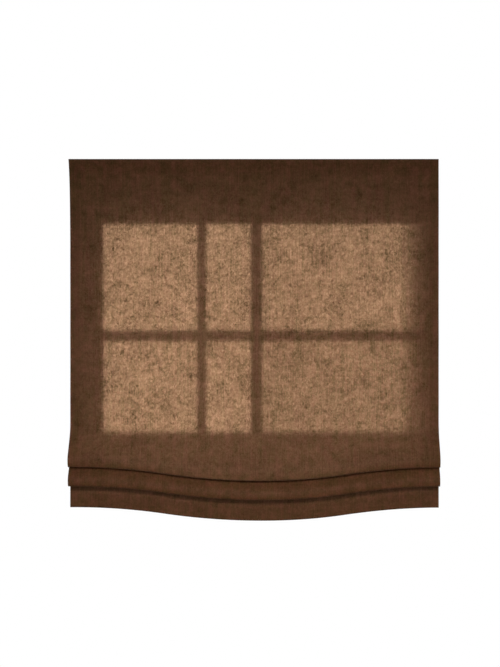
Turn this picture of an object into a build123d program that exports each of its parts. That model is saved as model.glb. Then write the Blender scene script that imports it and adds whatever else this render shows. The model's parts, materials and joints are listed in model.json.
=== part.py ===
from build123d import *
from math import cos, radians, sin, sqrt, tan
import os

# A relaxed roman blind, lifted without an outside cord, with its headrail, lift gear and cloth.
# Millimetres. X runs along the blind, Y towards the wall behind it and Z up. The wall is the plane
# Y = 0, and the origin lies on it, in the middle of the four holes that fix the two brackets.

# Overall sizes
blind_width = 1000.0
side_drop = 946.0  # cloth top to hem, at the sides
hem_swag = 35.0  # how much lower the hem hangs at its middle
side_clearance = 3.0  # from the cloth's side edge in to the end of the headrail's cap

# Brackets and their holes
bracket_spacing = 680.0
bracket_width = 30.0
bracket_sheet = 1.5
wall_flange_height = 38.0
wall_hole_spacing = 16.0
fixing_hole_radius = 2.25
ceiling_hole_inset = 7.0  # from the wall
bracket_top = 16.0
bracket_bend_radius = 1.0
bracket_corner_radius = 4.0

# Headrail channel, which is as deep as the spools' cradles and as high as the motor inside it
rail_wall = 1.4
rail_lip = 4.0
rail_headroom = 1.4  # from the motor's top up to the lips
wall_gap = 5.5  # from the wall to the rail's back, room for the fixing screws' heads
lever_gap = 3.0  # from the brackets' top flange down to the rail

# Hook and loop tapes, and cloth
tape_height = 25.0
tape_thickness = 1.2
tape_drop = 1.0  # from the rail's top edge down to the tapes
cloth_thickness = 1.0
ceiling_gap = 0.3  # from the ceiling plane down to the cloth's top edge

# Lift gear
lift_line_inset = 100.0  # from the cloth's side edge in to each lift cord
cord_radius = 0.7
wind_radius = 8.6  # spool's axis to the cord's centre line
wind_gap = 0.1  # between the cord and the drum that it lies on
wind_angle = 280.0  # of a turn, that the cord lies round the spool when the blind is down
cord_lead = 3.0  # from the lift cord out to the spool's flange
spool_drum_length = 22.0
spool_flange = 1.5
spool_flange_lip = 0.7  # how far the flange stands above the wound cord
journal_radius = 5.0
journal_length = 3.5
running_gap = 0.06
end_play = 0.5
shaft_flats = 5.0
shaft_gap = 0.1
shaft_chamfer = 0.4
shaft_overhang = 12.0  # beyond each spool
collar_length = 5.0
collar_radius = 5.0
cradle_wall = 3.0
cradle_floor = 1.6
cradle_roof = 1.2
cradle_side = 0.9  # the cradle's wall beside the spool
cradle_play = 0.2
shell_gap = 0.5  # from a spool's flange to its cradle
cord_slot_length = 6.0
cord_slot_depth = 6.0

# Spring motor
motor_length = 70.0
motor_wall = 1.4
output_radius = 6.5
storage_radius = 4.5
strip_width = 46.0
output_wrap = 0.6
storage_wrap = 1.5
strip_thickness = 0.3
strip_gap = 0.1
winding_gap = 0.5  # between the strip's two windings
motor_gap = 0.4  # from the strip's upper winding to the motor's case
pin_radius = 2.5
screw_radius = 1.0
screw_length = 56.0
screw_head_radius = 1.9
screw_head = 1.2
boss_radius = 2.2
boss_overlap = 0.5  # how far a boss stands into the case's walls
half_gap = 1.0  # how far each half of the case is cut open beyond mid-length

# Rings, ties and stops: the folds' rings as heights above the hem at the sides, and the rows of
# rings above them, evenly spaced
fold_ring_lifts = [209.0, 143.0, 126.0]
ring_spacing = 170.0
ring_radius = 5.7
ring_wire = 0.8
ring_gap = 0.3  # from a ring to the cloth's back
tie_radius = 0.6
touch_gap = 0.1
orb_radius = 6.2
knot_radius = 1.6

# The two folds at the foot. The brow is a fold's front, the edge its lowest line and the tuck the
# line where the cloth turns back to the rings. Lifts are heights above the hem at the sides.
upper_reach = 52.0
upper_brow_lift = 134.0
upper_edge_lift = 100.0
upper_edge_return = 13.0  # from the brow back to the edge
upper_tuck_lift = 149.0
tuck_below_ring = 4.0  # from the second ring down to the start of the lower fold
lower_reach = 46.0
lower_brow_lift = 82.0
lower_edge_lift = 47.0
lower_edge_return = 9.0
lower_tuck_lift = 141.0
fold_corner_radii = [80, 30, 7, 3, 3, 22, 5.5, 3]
# How much of the hem's swag each line shares; the folds' edges share all of it
brow_share = 0.8
tuck_share = 1.2
lower_tuck_share = 1.24

# Hem pocket and the weighted cord in it
pocket_forward = 2.0  # from the cloth's line to the pocket's
pocket_play = 0.4
pocket_height = 40.0
pocket_corner_radius = 2.2
weight_radius = 1.8
weight_end_inset = 12.0
weight_lift = 1.4  # from the pocket's floor up to the weighted cord

# Catches
catch_play = 0.6  # from the rail's wall to the wing's end
catch_wing_width = 10.0
catch_thickness = 1.8
catch_neck_radius = 6.0
catch_shoulder = 1.0  # how far the lever's disc stands over the lips
catch_arm_length = 12.0
catch_arm_width = 7.0
catch_corner_radius = 1.5
catch_gap = 0.3
rivet_radius = 2.0
rivet_head_radius = 4.0
rivet_head = 1.2
rivet_countersink = 1.2

# End caps
cap_plate = 2.0
cap_plug = 8.0
cap_plug_wall = 1.6
cap_plug_gap = 0.15
cap_corner_radius = 1.0
cap_edge_radius = 0.6

# Places worked out from the sizes above
cloth_top = bracket_top - ceiling_gap
output_outer = output_radius + strip_gap + output_wrap
storage_outer = storage_radius + strip_gap + storage_wrap
drum_spacing = output_outer + winding_gap + storage_outer
spool_flange_radius = wind_radius + cord_radius + spool_flange_lip
shell_radius = spool_flange_radius + shell_gap
shaft_height = cradle_floor + shell_radius  # above the rail's floor
motor_height = shaft_height + drum_spacing + storage_outer + motor_gap + motor_wall
rail_depth = 2 * (rail_wall + cradle_play + cradle_side + shell_radius)
rail_height = motor_height + rail_headroom + 2 * rail_wall
rail_length = blind_width - 2 * side_clearance - 2 * cap_plate

rail_top = bracket_top - bracket_sheet - lever_gap
rail_bottom = rail_top - rail_height
rail_floor = rail_bottom + rail_wall
rail_back = -wall_gap
rail_front = rail_back - rail_depth
rail_middle = (rail_back + rail_front) / 2
gear_back = rail_back - rail_wall - cradle_play
gear_front = rail_front + rail_wall + cradle_play
cloth_back = rail_front - 2 * tape_thickness
cloth_middle = cloth_back - cloth_thickness / 2
shaft_z = rail_floor + shaft_height
storage_z = shaft_z + drum_spacing
bore_radius = journal_radius + running_gap
cord_y = rail_middle - wind_radius
ring_y = cloth_back + ring_gap + ring_radius + ring_wire
lift_line_x = blind_width / 2 - lift_line_inset
pocket_depth = cloth_thickness + 2 * weight_radius + 2 * pocket_play

os.makedirs("parts", exist_ok=True)


def finish(part, name):
    """Name a piece and write it."""
    part.label = name
    export_step(part, f"parts/{name}.step")


def side_name(side):
    return "left" if side < 0 else "right"


def box_between(low, high, mode=Mode.ADD):
    """A box from its lowest corner to its highest one."""
    size = [high[i] - low[i] for i in range(3)]
    centre = tuple((high[i] + low[i]) / 2 for i in range(3))
    with Locations(centre):
        Box(*size, mode=mode)


def swag(x, depth):
    """How far a line that hangs depth lower at mid-width hangs at x: two arcs each way, meeting tangent."""
    half = (blind_width / 2 - weight_end_inset) / 2
    radius = (half**2 + (depth / 2) ** 2) / depth
    away = abs(x)
    if away <= half:
        return depth - (radius - sqrt(radius**2 - away**2))
    if away < 2 * half:
        return radius - sqrt(radius**2 - (2 * half - away) ** 2)
    return 0.0


# --- cloth ---------------------------------------------------------------------------------------


def fold_path(x):
    """The cloth's centre line at x, from its top edge to the hem pocket's mouth, and the corner radii."""
    low = swag(x, hem_swag)
    flat = cloth_middle
    upper_brow = flat - upper_reach
    lower_brow = flat - lower_reach
    pocket_front = flat - pocket_forward
    foot = cloth_top - side_drop
    pocket_floor = foot - low + cloth_thickness / 2
    points = [
        (flat, cloth_top),
        (flat, foot + fold_ring_lifts[0]),
        (upper_brow, foot + upper_brow_lift - brow_share * low),
        (upper_brow + upper_edge_return, foot + upper_edge_lift - low),
        (flat, foot + upper_tuck_lift - tuck_share * low),
        (flat, foot + fold_ring_lifts[1] - tuck_below_ring - tuck_share * low),
        (lower_brow, foot + lower_brow_lift - low),
        (lower_brow + lower_edge_return, foot + lower_edge_lift - low),
        (flat, foot + lower_tuck_lift - lower_tuck_share * low),
        (pocket_front, pocket_floor),
        (pocket_front + pocket_depth, pocket_floor),
        (pocket_front + pocket_depth / 3, pocket_floor + pocket_height),
    ]
    return points, fold_corner_radii + [pocket_corner_radius, pocket_corner_radius]


def beside(points, radii, shift):
    """A path moved sideways by shift, with its corners mitred and its radii grown or shrunk to suit."""
    corners = [Vector(*p) for p in points]
    runs = [(b - a).normalized() for a, b in zip(corners, corners[1:])]
    normals = [Vector(-run.Y, run.X) for run in runs]
    moved = [corners[0] + normals[0] * shift]
    new_radii = []
    for i, radius in enumerate(radii):
        mitre = normals[i] + normals[i + 1]
        moved.append(corners[i + 1] + mitre * (shift / mitre.dot(normals[i])))
        turns_left = runs[i].X * runs[i + 1].Y > runs[i].Y * runs[i + 1].X
        new_radii.append(radius - shift if turns_left else radius + shift)
    moved.append(corners[-1] + normals[-1] * shift)
    return moved, new_radii


def rounded_path(corners, radii):
    """Straight runs from corner to corner, joined by tangent arcs."""
    last = corners[0]
    for i, radius in enumerate(radii):
        into = (corners[i + 1] - corners[i]).normalized()
        out = (corners[i + 2] - corners[i + 1]).normalized()
        half_turn = radians(into.get_angle(out)) / 2
        reach = radius * tan(half_turn)
        start = corners[i + 1] - into * reach
        end = corners[i + 1] + out * reach
        crown = corners[i + 1] + (out - into).normalized() * (radius / cos(half_turn) - radius)
        Line(last, start)
        ThreePointArc(start, crown, end)
        last = end
    Line(last, corners[-1])


section_count = 13
with BuildPart() as cloth:
    for i in range(section_count):
        x = blind_width * (i / (section_count - 1) - 0.5)
        path, path_radii = fold_path(x)
        front_face, front_radii = beside(path, path_radii, -cloth_thickness / 2)
        back_face, back_radii = beside(path, path_radii, cloth_thickness / 2)
        with BuildSketch(Plane.YZ.offset(x)) as section:
            with BuildLine():
                rounded_path(front_face, front_radii)
                rounded_path(back_face, back_radii)
                Line(front_face[0], back_face[0])
                Line(front_face[-1], back_face[-1])
            make_face()
        print(f"cloth at x {x:.0f}: {section.sketch.area / cloth_thickness:.1f} mm long with its pocket")
    loft()
finish(cloth.part, "cloth")

# The weighted cord lies along the bottom of the hem pocket and follows its swag in three arcs.
weight_y = cloth_middle - pocket_forward + pocket_depth / 2
weight_z = cloth_top - side_drop + cloth_thickness + weight_lift + weight_radius
weight_half = blind_width / 2 - weight_end_inset
with BuildPart() as hem_weight:
    with BuildLine(Plane.XZ.offset(-weight_y)) as weight_line:
        quarter = weight_half / 2
        eighth = weight_half / 4
        low_line = [(x, weight_z - swag(x, hem_swag)) for x in
                    (-weight_half, -weight_half + eighth, -quarter, 0, quarter, weight_half - eighth, weight_half)]
        ThreePointArc(low_line[0], low_line[1], low_line[2])
        ThreePointArc(low_line[2], low_line[3], low_line[4])
        ThreePointArc(low_line[4], low_line[5], low_line[6])
    with BuildSketch(Plane(origin=weight_line.line @ 0, z_dir=weight_line.line % 0)):
        Circle(weight_radius)
    sweep(path=weight_line.line)
finish(hem_weight.part, "hem_weight")

# --- headrail, caps and tapes --------------------------------------------------------------------

with BuildPart() as headrail:
    with BuildSketch(Plane.YZ) as rail_section:
        with Locations((rail_middle, (rail_top + rail_bottom) / 2)):
            Rectangle(rail_depth, rail_height)
        with Locations((rail_middle, (rail_top - rail_wall + rail_floor) / 2)):
            Rectangle(rail_depth - 2 * rail_wall, rail_height - 2 * rail_wall, mode=Mode.SUBTRACT)
        with Locations((rail_middle, rail_top - rail_wall / 2)):
            Rectangle(rail_depth - 2 * rail_wall - 2 * rail_lip, rail_wall, mode=Mode.SUBTRACT)
    extrude(amount=rail_length / 2, both=True)
    for side in (-1, 1):
        x = side * lift_line_x
        box_between(
            (x - cord_slot_length / 2, cord_y - cord_slot_depth / 2, rail_bottom - 1),
            (x + cord_slot_length / 2, cord_y + cord_slot_depth / 2, rail_floor + 1),
            Mode.SUBTRACT,
        )
finish(headrail.part, "headrail")


def make_end_cap(side):
    end = side * rail_length / 2
    plug_low = (rail_back - rail_wall - cap_plug_gap, rail_floor + cap_plug_gap)
    plug_high = (rail_front + rail_wall + cap_plug_gap, rail_top - rail_wall - cap_plug_gap)
    plug_width = plug_low[0] - plug_high[0]
    plug_height = plug_high[1] - plug_low[1]
    plug_centre = ((plug_low[0] + plug_high[0]) / 2, (plug_low[1] + plug_high[1]) / 2)
    with BuildPart() as cap:
        with BuildSketch(Plane.YZ.offset(end)):
            with Locations((rail_middle, (rail_top + rail_bottom) / 2)):
                RectangleRounded(rail_depth, rail_height, cap_corner_radius)
        extrude(amount=side * cap_plate)
        fillet(cap.faces().sort_by(Axis.X)[-1 if side > 0 else 0].edges(), cap_edge_radius)
        with BuildSketch(Plane.YZ.offset(end)):
            with Locations(plug_centre):
                Rectangle(plug_width, plug_height)
                Rectangle(plug_width - 2 * cap_plug_wall, plug_height - 2 * cap_plug_wall, mode=Mode.SUBTRACT)
        extrude(amount=-side * cap_plug)
    finish(cap.part, f"end_cap_{side_name(side)}")


for side in (-1, 1):
    make_end_cap(side)

tape_top = rail_top - tape_drop
with BuildPart() as hook_tape:
    box_between(
        (-rail_length / 2, rail_front - tape_thickness, tape_top - tape_height),
        (rail_length / 2, rail_front, tape_top),
    )
finish(hook_tape.part, "hook_tape")

with BuildPart() as loop_tape:
    box_between(
        (-rail_length / 2, rail_front - 2 * tape_thickness, tape_top - tape_height),
        (rail_length / 2, rail_front - tape_thickness, tape_top),
    )
finish(loop_tape.part, "loop_tape")

# --- brackets, catches and rivets ----------------------------------------------------------------

flange_reach = rail_front + rail_wall  # the top flange ends above the rail's front wall
catch_top = bracket_top - bracket_sheet - catch_gap
lever_bottom = rail_top + catch_gap
wing_top = rail_top - rail_wall - catch_gap
wing_length = rail_depth - 2 * rail_wall - 2 * catch_play


def make_bracket(side):
    x = side * bracket_spacing / 2
    half = bracket_width / 2
    with BuildPart() as bracket:
        with BuildSketch(Plane.YZ.offset(x - half)):
            with BuildLine():
                Polyline(
                    (0, bracket_top),
                    (flange_reach, bracket_top),
                    (flange_reach, bracket_top - bracket_sheet),
                    (-bracket_sheet, bracket_top - bracket_sheet),
                    (-bracket_sheet, bracket_top - wall_flange_height),
                    (0, bracket_top - wall_flange_height),
                    close=True,
                )
            make_face()
        extrude(amount=bracket_width)
        inner_bend = bracket.edges().filter_by(Axis.X).sort_by(
            lambda edge: abs(edge.center().Y + bracket_sheet) + abs(edge.center().Z - bracket_top + bracket_sheet)
        )[0]
        fillet(inner_bend, bracket_bend_radius)
        free_corners = bracket.edges().filter_by(Axis.Z).group_by(Axis.Y)[0]
        fillet(free_corners, bracket_corner_radius)
        with Locations((x, 0, wall_hole_spacing / 2), (x, 0, -wall_hole_spacing / 2)):
            Cylinder(fixing_hole_radius, 4 * bracket_sheet, rotation=(90, 0, 0), mode=Mode.SUBTRACT)
        with Locations((x, -ceiling_hole_inset, bracket_top)):
            Cylinder(fixing_hole_radius, 4 * bracket_sheet, mode=Mode.SUBTRACT)
        with Locations((x, rail_middle, bracket_top)):
            Cylinder(rivet_radius + touch_gap, 4 * bracket_sheet, mode=Mode.SUBTRACT)
            Cone(
                rivet_radius + touch_gap,
                rivet_radius + touch_gap + rivet_countersink,
                rivet_countersink,
                align=(Align.CENTER, Align.CENTER, Align.MAX),
                mode=Mode.SUBTRACT,
            )
    finish(bracket.part, f"bracket_{side_name(side)}")


def make_catch(side):
    x = side * bracket_spacing / 2
    with BuildPart() as catch:
        with BuildSketch(Plane.XY.offset(wing_top - catch_thickness)):
            with Locations((x, rail_middle)):
                SlotOverall(wing_length, catch_wing_width, rotation=90)
        extrude(amount=catch_thickness)
        with BuildSketch(Plane.XY.offset(wing_top)):
            with Locations((x, rail_middle)):
                Circle(catch_neck_radius)
        extrude(amount=lever_bottom - wing_top)
        with BuildSketch(Plane.XY.offset(lever_bottom)):
            with Locations((x, rail_middle)):
                Circle(catch_neck_radius + catch_shoulder)
            with Locations((x + catch_arm_length / 2, rail_middle)):
                RectangleRounded(catch_arm_length, catch_arm_width, catch_corner_radius)
        extrude(amount=catch_top - lever_bottom)
        with Locations((x, rail_middle, wing_top)):
            Cylinder(rivet_radius + running_gap, 3 * (catch_top - wing_top), mode=Mode.SUBTRACT)
    finish(catch.part, f"catch_{side_name(side)}")


for side in (-1, 1):
    make_bracket(side)
    make_catch(side)

rivet_foot = wing_top - catch_thickness - touch_gap
with BuildPart() as catch_rivets:
    for side in (-1, 1):
        x = side * bracket_spacing / 2
        with BuildSketch(Plane.XZ.offset(-rail_middle)):
            with BuildLine():
                Polyline(
                    (x, rivet_foot - rivet_head),
                    (x + rivet_head_radius, rivet_foot - rivet_head),
                    (x + rivet_head_radius, rivet_foot),
                    (x + rivet_radius, rivet_foot),
                    (x + rivet_radius, bracket_top - rivet_countersink),
                    (x + rivet_radius + rivet_countersink, bracket_top),
                    (x, bracket_top),
                    close=True,
                )
            make_face()
        revolve(axis=Axis((x, rail_middle, 0), (0, 0, 1)))
finish(catch_rivets.part, "catch_rivets")

# --- lift shaft, spools and cradles --------------------------------------------------------------

spool_length = spool_drum_length + 2 * spool_flange
spool_outer_x = lift_line_x + cord_lead + spool_flange
spool_inner_x = spool_outer_x - spool_length
shaft_end_x = spool_outer_x + journal_length + shaft_overhang
hexagon_radius = shaft_flats / sqrt(3)

with BuildPart() as lift_shaft:
    with BuildSketch(Plane.YZ.offset(-shaft_end_x)):
        with Locations((rail_middle, shaft_z)):
            RegularPolygon(hexagon_radius, 6)
    extrude(amount=2 * shaft_end_x)
    chamfer(lift_shaft.faces().sort_by(Axis.X)[0].edges(), shaft_chamfer)
    chamfer(lift_shaft.faces().sort_by(Axis.X)[-1].edges(), shaft_chamfer)
finish(lift_shaft.part, "lift_shaft")


def cut_hexagon(start, length):
    """The hexagonal bore that the shaft drives, cut from start along +X."""
    with BuildSketch(Plane.YZ.offset(start)) as bore:
        with Locations((rail_middle, shaft_z)):
            RegularPolygon(hexagon_radius + shaft_gap, 6)
    extrude(bore.sketch, amount=length, mode=Mode.SUBTRACT)


def add_discs(axis_y, axis_z, discs):
    """Round steps along +X: each is the place where it starts, its length and its radius."""
    for start, length, radius in discs:
        with Locations((start + length / 2, axis_y, axis_z)):
            Cylinder(radius, length, rotation=(0, 90, 0))


def make_spool(side):
    low = spool_inner_x if side > 0 else -spool_outer_x
    with BuildPart() as spool:
        add_discs(
            rail_middle,
            shaft_z,
            [
                (low - journal_length, journal_length, journal_radius),
                (low, spool_flange, spool_flange_radius),
                (low + spool_flange, spool_drum_length, wind_radius - cord_radius - wind_gap),
                (low + spool_length - spool_flange, spool_flange, spool_flange_radius),
                (low + spool_length, journal_length, journal_radius),
            ],
        )
        cut_hexagon(low - journal_length, spool_length + 2 * journal_length)
    finish(spool.part, f"cord_spool_{side_name(side)}")


cradle_top = shaft_z + shell_radius + cradle_roof


def make_cradle(side):
    """The tray under the spool and the lid over it, which meet at the shaft's height."""
    low = (spool_inner_x if side > 0 else -spool_outer_x) - end_play - cradle_wall
    length = spool_length + 2 * end_play + 2 * cradle_wall
    cord_x = side * lift_line_x
    heights = {"spool_cradle": (rail_floor, shaft_z), "cradle_lid": (shaft_z, cradle_top)}
    for name, (bottom, top) in heights.items():
        with BuildPart() as shell:
            box_between((low, gear_front, bottom), (low + length, gear_back, top))
            with Locations((low + length / 2, rail_middle, shaft_z)):
                Cylinder(shell_radius, length - 2 * cradle_wall, rotation=(0, 90, 0), mode=Mode.SUBTRACT)
                Cylinder(bore_radius, 2 * length, rotation=(0, 90, 0), mode=Mode.SUBTRACT)
            box_between(
                (cord_x - cord_slot_length / 2, cord_y - cord_slot_depth / 2, rail_floor - 1),
                (cord_x + cord_slot_length / 2, cord_y + cord_slot_depth / 2, shaft_z),
                Mode.SUBTRACT,
            )
        finish(shell.part, f"{name}_{side_name(side)}")


for side in (-1, 1):
    make_spool(side)
    make_cradle(side)

with BuildPart() as shaft_collars:
    for side in (-1, 1):
        middle = side * (spool_outer_x + journal_length + end_play + collar_length / 2)
        start = middle - collar_length / 2
        add_discs(rail_middle, shaft_z, [(start, collar_length, collar_radius)])
        cut_hexagon(start, collar_length)
finish(shaft_collars.part, "shaft_collars")

# --- lift cords ----------------------------------------------------------------------------------

fold_ring_shares = [0.0, tuck_share, lower_tuck_share]
fold_ring_heights = [
    cloth_top - side_drop + lift - share * swag(lift_line_x, hem_swag)
    for lift, share in zip(fold_ring_lifts, fold_ring_shares)
]
# The lowest ring rests on the orb, with only the fold tie's cord between them.
orb_reach = orb_radius + touch_gap + 2 * tie_radius + touch_gap + ring_wire
orb_z = fold_ring_heights[-1] - sqrt(orb_reach**2 - (ring_radius - abs(ring_y - cord_y)) ** 2)
knot_z = orb_z - orb_radius - knot_radius


def make_lift_cord(side):
    """From its knot up through the stop and the rings, and most of a turn round the spool."""
    x = side * lift_line_x
    turn_end = radians(wind_angle)
    with BuildPart() as cord:
        with BuildLine(Plane.YZ.offset(x)) as route:
            Line((cord_y, knot_z), (cord_y, shaft_z))
            ThreePointArc(
                (cord_y, shaft_z),
                (rail_middle - wind_radius * cos(turn_end / 2), shaft_z + wind_radius * sin(turn_end / 2)),
                (rail_middle - wind_radius * cos(turn_end), shaft_z + wind_radius * sin(turn_end)),
            )
        with BuildSketch(Plane.XY.offset(knot_z)):
            with Locations((x, cord_y)):
                Circle(cord_radius)
        sweep(path=route.line)
        with Locations((x, cord_y, knot_z)):
            Sphere(knot_radius)
    finish(cord.part, f"lift_cord_{side_name(side)}")


def make_orb(side):
    x = side * lift_line_x
    with BuildPart() as orb:
        with Locations((x, cord_y, orb_z)):
            Sphere(orb_radius)
            Cylinder(cord_radius + touch_gap, 3 * orb_radius, mode=Mode.SUBTRACT)
    finish(orb.part, f"cord_orb_{side_name(side)}")


for side in (-1, 1):
    make_lift_cord(side)
    make_orb(side)


# --- rings and ties ------------------------------------------------------------------------------


def add_ring(x, z):
    with Locations((x, ring_y, z)):
        Torus(ring_radius, ring_wire)


for steps, name in enumerate(["ring_row_middle", "ring_row_upper", "ring_row_top"], start=1):
    with BuildPart() as row:
        for side in (-1, 1):
            add_ring(side * lift_line_x, fold_ring_heights[0] + steps * ring_spacing)
    finish(row.part, name)

with BuildPart() as fold_rings:
    for side in (-1, 1):
        for z in fold_ring_heights:
            add_ring(side * lift_line_x, z)
finish(fold_rings.part, "fold_rings")

tie_y = ring_y + ring_radius
tie_bend = ring_wire + touch_gap + tie_radius


def make_tie(side):
    """A closed loop of cord that runs round the highest and the lowest of the three fold rings."""
    x = side * lift_line_x
    top, bottom = fold_ring_heights[0], fold_ring_heights[-1]
    with BuildPart() as tie:
        with BuildLine(Plane.YZ.offset(x)) as loop:
            Line((tie_y - tie_bend, bottom), (tie_y - tie_bend, top))
            ThreePointArc((tie_y - tie_bend, top), (tie_y, top + tie_bend), (tie_y + tie_bend, top))
            Line((tie_y + tie_bend, top), (tie_y + tie_bend, bottom))
            ThreePointArc((tie_y + tie_bend, bottom), (tie_y, bottom - tie_bend), (tie_y - tie_bend, bottom))
        with BuildSketch(Plane.XY.offset(bottom)):
            with Locations((x, tie_y - tie_bend)):
                Circle(tie_radius)
        sweep(path=loop.line)
    finish(tie.part, f"fold_tie_{side_name(side)}")


for side in (-1, 1):
    make_tie(side)

# --- spring motor --------------------------------------------------------------------------------

motor_top = rail_floor + motor_height
boss_inset = motor_wall + boss_radius - boss_overlap
boss_y = [gear_back - boss_inset, gear_front + boss_inset]
boss_z = [rail_floor + boss_inset, motor_top - boss_inset]


def make_motor_case(side):
    """One half of the motor's case, open at mid-length, with the bearings for both drums in its end."""
    end = side * motor_length / 2
    low_x, high_x = min(0, end), max(0, end)
    inner_end = end - side * motor_wall
    with BuildPart() as case:
        box_between((low_x, gear_front, rail_floor), (high_x, gear_back, motor_top))
        box_between(
            (min(-side * half_gap, inner_end), gear_front + motor_wall, rail_floor + motor_wall),
            (max(-side * half_gap, inner_end), gear_back - motor_wall, motor_top - motor_wall),
            Mode.SUBTRACT,
        )
        for y in boss_y:
            for z in boss_z:
                with Locations(((low_x + high_x) / 2, y, z)):
                    Cylinder(boss_radius, motor_length / 2, rotation=(0, 90, 0))
        for y in boss_y:
            for z in boss_z:
                with Locations(((low_x + high_x) / 2, y, z)):
                    Cylinder(screw_radius + running_gap, motor_length, rotation=(0, 90, 0), mode=Mode.SUBTRACT)
                if side < 0:
                    with Locations((end, y, z)):
                        Cylinder(
                            screw_head_radius + touch_gap,
                            2 * screw_head,
                            rotation=(0, 90, 0),
                            mode=Mode.SUBTRACT,
                        )
        with Locations((end, rail_middle, shaft_z)):
            Cylinder(bore_radius, 4 * motor_wall, rotation=(0, 90, 0), mode=Mode.SUBTRACT)
        with Locations((end, rail_middle, storage_z)):
            Cylinder(pin_radius + running_gap, 4 * motor_wall, rotation=(0, 90, 0), mode=Mode.SUBTRACT)
    finish(case.part, f"motor_case_{side_name(side)}")


for side in (-1, 1):
    make_motor_case(side)

with BuildPart() as motor_screws:
    for y in boss_y:
        for z in boss_z:
            add_discs(
                y,
                z,
                [
                    (-motor_length / 2, screw_head, screw_head_radius),
                    (-motor_length / 2 + screw_head, screw_length, screw_radius),
                ],
            )
finish(motor_screws.part, "motor_screws")

drum_length = motor_length - 2 * motor_wall - 2 * end_play
with BuildPart() as output_drum:
    add_discs(
        rail_middle,
        shaft_z,
        [
            (-motor_length / 2, motor_length, journal_radius),
            (-drum_length / 2, drum_length, output_radius),
        ],
    )
    cut_hexagon(-motor_length / 2, motor_length)
finish(output_drum.part, "output_drum")

with BuildPart() as storage_drum:
    add_discs(
        rail_middle,
        storage_z,
        [
            (-motor_length / 2, motor_length, pin_radius),
            (-drum_length / 2, drum_length, storage_radius),
        ],
    )
finish(storage_drum.part, "storage_drum")

# The strip is wound one way on the storage drum and the other way on the output drum, so the span
# between them is the crossing tangent of the two windings.
output_line = output_outer - strip_thickness / 2
storage_line = storage_outer - strip_thickness / 2
cross_cos = (output_line + storage_line) / drum_spacing
cross_sin = sqrt(1 - cross_cos**2)
with BuildPart() as spring_strip:
    with BuildSketch(Plane.YZ.offset(-strip_width / 2)):
        with Locations((rail_middle, shaft_z)):
            Circle(output_outer)
        with Locations((rail_middle, storage_z)):
            Circle(storage_outer)
        with BuildLine():
            Line(
                (rail_middle + output_line * cross_sin, shaft_z + output_line * cross_cos),
                (rail_middle - storage_line * cross_sin, storage_z - storage_line * cross_cos),
            )
        trace(line_width=strip_thickness)
        with Locations((rail_middle, shaft_z)):
            Circle(output_radius + strip_gap, mode=Mode.SUBTRACT)
        with Locations((rail_middle, storage_z)):
            Circle(storage_radius + strip_gap, mode=Mode.SUBTRACT)
    extrude(amount=strip_width)
finish(spring_strip.part, "spring_strip")

print(f"rail {rail_depth:.1f} deep and {rail_height:.1f} high; lift line {cord_y:.1f}, rings {ring_y:.1f}")
print(f"shaft at z {shaft_z:.2f}, storage drum at {storage_z:.2f}, orbs at {orb_z:.1f}")
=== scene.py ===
# %% [markdown]
# # A relaxed roman blind in brown linen
# The blind is one width of loosely woven linen that hangs from a headrail. Its foot is drawn up into
# two soft folds and its hem sags a little at mid-width. Behind it run a lift shaft, a spring motor,
# two lift cords and their rings. The hard pieces come finished in shape from the construction model,
# so this script gives them their surfaces, makes the cloth and the cords, and lights the whole.

# %% Load the construction model as a fixed frame
import json
from math import atan2, cos, exp, pi, sin, sqrt, tan

import bpy
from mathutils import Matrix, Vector, noise


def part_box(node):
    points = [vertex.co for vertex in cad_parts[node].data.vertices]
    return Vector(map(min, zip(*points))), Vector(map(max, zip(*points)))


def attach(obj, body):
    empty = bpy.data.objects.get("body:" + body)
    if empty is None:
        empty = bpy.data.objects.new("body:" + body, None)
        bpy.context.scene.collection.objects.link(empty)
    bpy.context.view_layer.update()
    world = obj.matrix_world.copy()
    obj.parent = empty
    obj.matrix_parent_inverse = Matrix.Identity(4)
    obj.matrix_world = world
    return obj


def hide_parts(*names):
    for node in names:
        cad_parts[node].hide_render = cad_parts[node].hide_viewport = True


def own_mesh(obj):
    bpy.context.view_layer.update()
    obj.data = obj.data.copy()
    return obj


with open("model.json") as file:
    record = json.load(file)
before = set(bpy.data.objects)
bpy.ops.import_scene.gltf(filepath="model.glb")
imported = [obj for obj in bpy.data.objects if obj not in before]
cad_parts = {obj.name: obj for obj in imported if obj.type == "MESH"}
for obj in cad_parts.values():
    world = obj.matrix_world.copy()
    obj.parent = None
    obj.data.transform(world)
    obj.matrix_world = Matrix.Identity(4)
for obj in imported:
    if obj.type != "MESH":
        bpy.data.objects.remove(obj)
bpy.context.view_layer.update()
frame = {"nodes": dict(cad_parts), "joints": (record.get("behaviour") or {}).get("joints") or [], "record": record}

# %% [markdown]
# ## Places that everything else is measured from
# The cloth's own box gives its width and its top edge. The rows of rings give the levels where the
# cloth is held, and each row is a body of its own, because it climbs its own share of the way when
# the blind is raised. Reading them from the frame keeps cloth and gear in step if a size changes.

# %% Read the cloth, the rings and the lift from the frame
cloth_low, cloth_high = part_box("cloth")
half_width = (cloth_high.x - cloth_low.x) / 2
cloth_top = cloth_high.z
sheet_thickness = 0.001
plane_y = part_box("loop_tape")[0].y - sheet_thickness / 2
hem_swag = 0.035
side_drop = cloth_top - cloth_low.z - hem_swag
foot = cloth_top - side_drop


def middle_height(node):
    low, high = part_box(node)
    return (low.z + high.z) / 2


ring_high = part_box("fold_rings")[1]
ring_wire = 0.0008
fold_start = ring_high.z - ring_wire
below_rail = 0.0078  # how far under the rail the cloth and the cords hang free
hang_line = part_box("headrail")[0].z - below_rail
levels = {"root": hang_line}
for row in ("row_top", "row_upper", "row_middle"):
    levels[row] = middle_height("ring_" + row)
levels["foot"] = fold_start

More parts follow.
